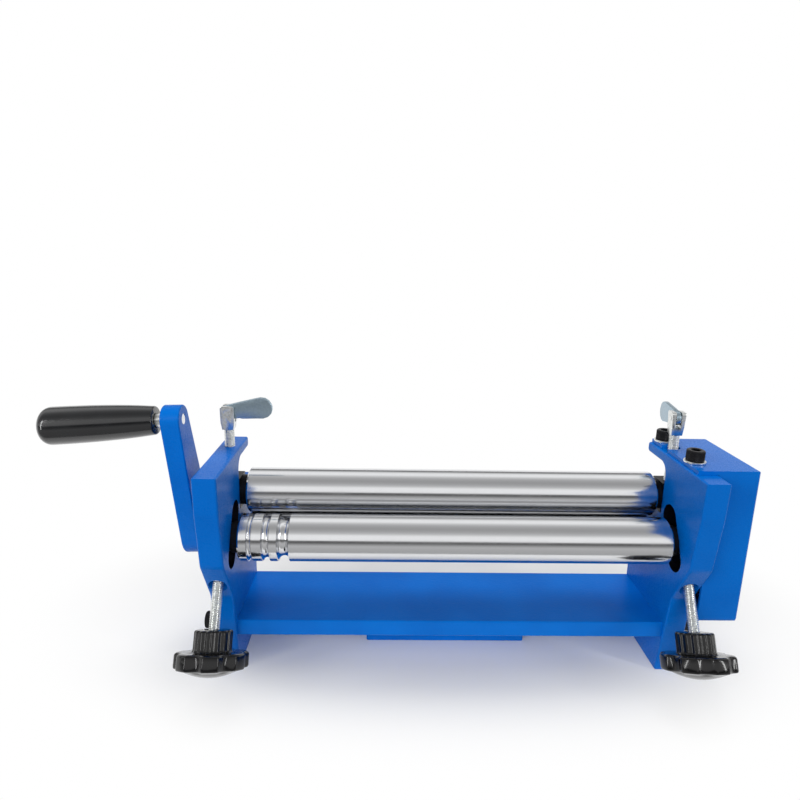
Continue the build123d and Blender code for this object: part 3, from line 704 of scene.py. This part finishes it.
# %% Stamp the levers
paddle = [(-5.6, 0.0), (-4.9, 2.8), (-2.8, 4.9), (0.0, 5.6), (4.0, 6.1), (9.0, 6.7), (15.0, 7.3),
          (21.0, 7.9), (25.9, 8.3), (29.7, 7.4), (32.5, 5.0), (33.8, 2.0), (34.2, 0.0), (33.8, -2.6),
          (32.5, -5.4), (29.7, -7.5), (25.9, -8.3), (21.0, -7.6), (15.0, -6.9), (10.2, -6.4),
          (7.8, -5.6), (4.0, -5.6), (0.0, -5.6), (-2.8, -4.9), (-4.9, -2.8)]
lever_t, hole_r, hole_sides, tumbled_edge = 3.4, 2.05, 24, 0.5
hole = [(hole_r * cos(tau * i / hole_sides), hole_r * sin(tau * i / hole_sides))
        for i in range(hole_sides)]
for side, heading, rise in (("left", 0, 8), ("right", 84, -3)):
    name = f"wing_lever_{side}"
    middle = centre_of(f"wing_pin_{side}")
    turn, lift = radians(heading), radians(rise)
    along = Vector((cos(turn) * cos(lift), sin(turn) * cos(lift), sin(lift)))
    across = Vector((sin(turn), -cos(turn), 0))
    place = facing(middle, across, along)
    work = bmesh.new()
    loops = []
    for outline in (paddle, hole):
        corners = [work.verts.new((x * mm, y * mm, -lever_t / 2 * mm)) for x, y in outline]
        loops += [work.edges.new((a, b)) for a, b in zip(corners, corners[1:] + corners[:1])]
    bmesh.ops.triangle_fill(work, edges=loops, use_beauty=True)
    slab = bmesh.ops.extrude_face_region(work, geom=work.faces[:])
    raised = [v for v in slab["geom"] if isinstance(v, bmesh.types.BMVert)]
    bmesh.ops.translate(work, verts=raised, vec=(0, 0, lever_t * mm))
    bmesh.ops.dissolve_limit(work, angle_limit=radians(1), verts=work.verts, edges=work.edges)
    bmesh.ops.recalc_face_normals(work, faces=work.faces)
    mesh = bpy.data.meshes.new(name)
    work.to_mesh(mesh)
    work.free()
    mesh = rounded(mesh, tumbled_edge * mm, segments=3, angle=50)
    mesh.transform(place)
    finish_piece(f"{name}_stamped", mesh, name)
print("lever outline points:", len(paddle))

# %% [markdown]
# ## Socket cap screws
#
# Eight screws hold the machine together. Each has a knurled head, so that fingers can turn it,
# and a hexagonal socket. One head is skinned from rings, and Geometry Nodes sets a copy of it
# on every seat, which is how one drawing serves a whole set of screws.

# %% One knurled head
knurl_teeth, knurl_depth, washer_t, washer_r = 48, 0.35, 1.6, 7.75
head_r, head_height, shank_r, shank_break, socket_half = 6.5, 8.0, 4.0, 0.6, 3.0


def head_ring(height, out, teeth=0.0, count=144):
    """A ring of the screw head in millimetres. teeth is the depth of its knurl."""
    points = []
    for i in range(count):
        angle = tau * i / count
        r = out - teeth * (0.5 - 0.5 * cos(knurl_teeth * angle))
        points.append((r * cos(angle) * mm, r * sin(angle) * mm, height * mm))
    return points


def socket_ring(height, half_width, count=144):
    """A hexagonal ring, by its half width across flats."""
    points = []
    for i in range(count):
        angle = tau * i / count
        off = (angle + pi / 6) % (pi / 3) - pi / 6
        r = half_width / cos(off)
        points.append((r * cos(angle) * mm, r * sin(angle) * mm, height * mm))
    return points


def cap_screw(length):
    """A whole screw whose head stands on the origin, as a mesh."""
    shank = [[(0, 0, -length * mm)], head_ring(-length, shank_r - shank_break),
             head_ring(shank_break - length, shank_r), head_ring(-0.1, shank_r)]
    head = [head_ring(0, 6.1), head_ring(0.35, head_r), head_ring(0.6, head_r, knurl_depth),
            head_ring(7.0, head_r, knurl_depth), head_ring(7.35, 6.35, 0.15), head_ring(7.75, 6.1),
            head_ring(head_height, 5.6), head_ring(head_height, 3.9)]
    socket = [socket_ring(7.6, socket_half), socket_ring(4.0, socket_half), [(0, 0, 3.7 * mm)]]
    return skin(shank + head + socket, Matrix.Identity(4))


washer = turned([(0, shank_r), (0, 7.4), (0.3, washer_r), (1.3, washer_r), (washer_t, 7.4),
                 (washer_t, shank_r)], Matrix.Identity(4), closed=True)
print("faces of a screw and a washer:", len(cap_screw(20).polygons), len(washer.polygons))

# %% The tree that sets them on their seats
seat_tree = bpy.data.node_groups.new("screws on their seats", "GeometryNodeTree")
seat_tree.interface.new_socket("Screws", in_out="OUTPUT", socket_type="NodeSocketGeometry")
seat_inputs = {}
for label, kind in (("Seats", "Geometry"), ("Drawing", "Object"), ("Finish", "Material")):
    seat_inputs[label] = seat_tree.interface.new_socket(
        label, in_out="INPUT", socket_type=f"NodeSocket{kind}").identifier
seats_given = add(seat_tree, "NodeGroupInput").outputs
drawing = add(seat_tree, "GeometryNodeObjectInfo", {"Object": seats_given["Drawing"]})
direction = add(seat_tree, "GeometryNodeInputNamedAttribute", {"Name": "direction"},
                data_type="FLOAT_VECTOR")
lean = add(seat_tree, "FunctionNodeAlignRotationToVector", {"Vector": direction}, axis="Z")
seated = add(seat_tree, "GeometryNodeInstanceOnPoints", {
    "Points": seats_given["Seats"], "Instance": drawing.outputs["Geometry"], "Rotation": lean})
seated = add(seat_tree, "GeometryNodeRealizeInstances", {"Geometry": seated})
seated = add(seat_tree, "GeometryNodeSetMaterial", {"Geometry": seated,
                                                    "Material": seats_given["Finish"]})
add(seat_tree, "NodeGroupOutput", {"Screws": seated})
print("seat inputs:", list(seat_inputs))


# %% Set them
def set_on_seats(name, solid, drawn, seats, lift=0.0):
    """A copy of a drawing on every seat. A seat is a point in millimetres and a direction."""
    points = bpy.data.meshes.new(name)
    points.from_pydata([Vector(spot) * mm + Vector(way) * lift * mm for spot, way in seats], [], [])
    ways = points.attributes.new("direction", "FLOAT_VECTOR", "POINT")
    for row, (spot, way) in zip(ways.data, seats):
        row.vector = way
    pattern = bpy.data.objects.new("pattern", drawn)
    bpy.context.scene.collection.objects.link(pattern)
    mesh = grown(seat_tree, seat_inputs, Matrix.Identity(4), points, Drawing=pattern,
                 Finish=worn[solid])
    bpy.data.objects.remove(pattern)
    return finish_piece(name, mesh, solid)


cover_x, cover_top, frame_side, bolt_height, block_sink = 174.5, 177.5, 183, 39, 9
cover_seats = [((cover_x, y, cover_top), (0, 0, 1)) for y in (-53, -2)]
base_seats = [((side * frame_side, y, bolt_height), (side, 0, 0)) for side in (-1, 1) for y in (-45, 8)]
block_seats = [((x, 0, block_sink), (0, 0, -1)) for x in (-45, 45)]
for name, seats, length, lift in (("cover_screws", cover_seats, 12.1, washer_t),
                                  ("base_bolts", base_seats, 35.6, washer_t),
                                  ("vise_block_screws", block_seats, 32.5, 0)):
    set_on_seats(f"{name}_knurled", name, cap_screw(length), seats, lift)
for name, seats in (("cover_washers", cover_seats), ("base_washers", base_seats)):
    set_on_seats(f"{name}_pressed", name, washer, seats)
print("screws:", len(cover_seats + base_seats + block_seats), "washers:", len(cover_seats + base_seats))

# %% [markdown]
# ## The floor and the light
#
# The machine stands on a plain pale floor that turns to white in the distance. Large soft
# lamps light it from the front and from above. Polished steel shows the room, so mirrored rays
# see the same white studio with grey and dark cards in it, as a photographer would put round a
# shiny part to give it contrast. The cards are drawn by how many degrees they stand up from the
# level in front: 90 is overhead, and 180 is level behind. The two large lamps stay out of the
# mirrored picture, and a narrow lamp at each side gives it a bright streak.

# %% What the camera and mirrors see
def looked_at(tree):
    """Is 1 for rays from the camera, a mirror or glass, and 0 for soft light."""
    rays = add(tree, "ShaderNodeLightPath").outputs
    either = add(tree, "ShaderNodeMath", {0: rays["Is Camera Ray"], 1: rays["Is Glossy Ray"]},
                 operation="MAXIMUM")
    return add(tree, "ShaderNodeMath", {0: either, 1: rays["Is Transmission Ray"]},
               operation="MAXIMUM")


print("rays that see the white studio: camera, glossy and transmission")

# %% Floor
floor_side, floor_front, floor_back, floor_gap = 0.6, -0.15, 0.6, 0.0002
paper_until, white_from = 0.12, 0.27
oval_middle, oval_across, oval_along = 0.05, 0.7, 1.25
floor_mesh = bpy.data.meshes.new("floor")
floor_mesh.from_pydata([(-floor_side, floor_front, 0), (floor_side, floor_front, 0),
                        (floor_side, floor_back, 0), (-floor_side, floor_back, 0)], [], [(0, 1, 2, 3)])
floor = bpy.data.objects.new("floor", floor_mesh)
floor.location.z = -floor_gap
bpy.context.scene.collection.objects.link(floor)
paper, tree, shader, point = start_finish("matt pale paper", Roughness=0.9)
shader.inputs["Base Color"].default_value = light_of("F4F4F4")
glow = add(tree, "ShaderNodeEmission", {"Strength": 1.0})
oval = add(tree, "ShaderNodeMapping", {"Vector": point, "Scale": (oval_across, oval_along, 1),
                                       "Location": (0, -oval_middle * oval_along, 0)})
away = add(tree, "ShaderNodeVectorMath", {0: oval}, operation="LENGTH")
fade = add(tree, "ShaderNodeMapRange", {"Value": away.outputs["Value"], "From Min": paper_until,
                                        "From Max": white_from}, interpolation_type="SMOOTHSTEP")
whitened = add(tree, "ShaderNodeMath", {0: fade.outputs["Result"], 1: looked_at(tree)},
               operation="MULTIPLY")
blend = add(tree, "ShaderNodeMixShader", {0: whitened, 1: shader, 2: glow})
tree.links.new(blend.outputs["Shader"], tree.nodes["Material Output"].inputs["Surface"])
floor_mesh.materials.append(paper)
print("floor turns white between", round(paper_until / mm), "and", round(white_from / mm), "mm")

# %% World
ramp_foot, ramp_span = -90, 270
white_card = (1, 1, 1, 1)
cards_seen = [(-85, 0.4), (-60, 0.35), (-45, 0.45), (-30, 0.48), (-16, 0.55), (-8, 0.35), (0, 0.12),
              (8, 0.12), (13, 1.0), (35, 1.0), (44, 0.62), (56, 0.45), (68, 0.38), (80, 0.42),
              (92, 0.52), (102, 0.75), (109, 1.0), (124, 1.0), (132, 0.7), (140, 0.3), (150, 0.15),
              (156, 0.8), (160, 1.0)]
world = bpy.data.worlds.new("studio")
bpy.context.scene.world = world
world.use_nodes = True
tree = world.node_tree
tree.nodes.clear()
mirrored = add(tree, "ShaderNodeLightPath").outputs["Is Glossy Ray"]
direction = add(tree, "ShaderNodeSeparateXYZ",
                {"Vector": add(tree, "ShaderNodeTexCoord").outputs["Generated"]}).outputs
forwards = add(tree, "ShaderNodeMath", {0: direction["Y"], 1: -1.0}, operation="MULTIPLY")
around = add(tree, "ShaderNodeMath", {0: direction["Z"], 1: forwards}, operation="ARCTAN2")
turnwise = add(tree, "ShaderNodeMapRange", {"Value": around, "From Min": radians(ramp_foot),
                                            "From Max": radians(ramp_foot + ramp_span)})
cards = add(tree, "ShaderNodeValToRGB", {"Fac": turnwise})
ramp = cards.color_ramp
ramp.elements[0].position, ramp.elements[0].color = 0.0, white_card
ramp.elements[1].position, ramp.elements[1].color = 1.0, white_card
for degrees_up, value in cards_seen:
    stop = ramp.elements.new((degrees_up - ramp_foot) / ramp_span)
    stop.color = (value, value, value, 1)
shown = add(tree, "ShaderNodeMix", {"Factor": mirrored, 6: white_card, 7: cards.outputs["Color"]},
            data_type="RGBA")
studio = add(tree, "ShaderNodeBackground", {"Color": shown.outputs[2], "Strength": 1.0})
soft_light = add(tree, "ShaderNodeBackground", {"Color": white_card, "Strength": 0.22})
backed = add(tree, "ShaderNodeMixShader", {0: looked_at(tree), 1: soft_light, 2: studio})
add(tree, "ShaderNodeOutputWorld", {"Surface": backed})
print("steps of light and dark in the world:", len(ramp.elements))


# %% Lamps
lit_spot = Vector((0, 0, 0.1))


def lamp(name, spot, size, watts, in_mirrors):
    """A soft lamp of a width and height that faces the machine. in_mirrors: whether polish shows it."""
    light = bpy.data.lights.new(name, "AREA")
    light.shape, light.energy = "RECTANGLE", watts
    light.size, light.size_y = size
    holder = bpy.data.objects.new(name, light)
    holder.location = spot
    holder.rotation_euler = (lit_spot - Vector(spot)).to_track_quat("-Z", "Y").to_euler()
    holder.visible_glossy = in_mirrors
    bpy.context.scene.collection.objects.link(holder)


lamp("key", (-0.3, -1.05, 0.62), (1.5, 0.4), 10.5, False)
lamp("top", (0.1, 0.3, 1.3), (0.7, 0.7), 9, False)
lamp("left strip", (-0.95, -0.65, 0.42), (0.07, 0.7), 2.2, True)
lamp("right strip", (0.95, -0.6, 0.45), (0.07, 0.7), 2.2, True)
bpy.context.scene.view_settings.view_transform = "Standard"
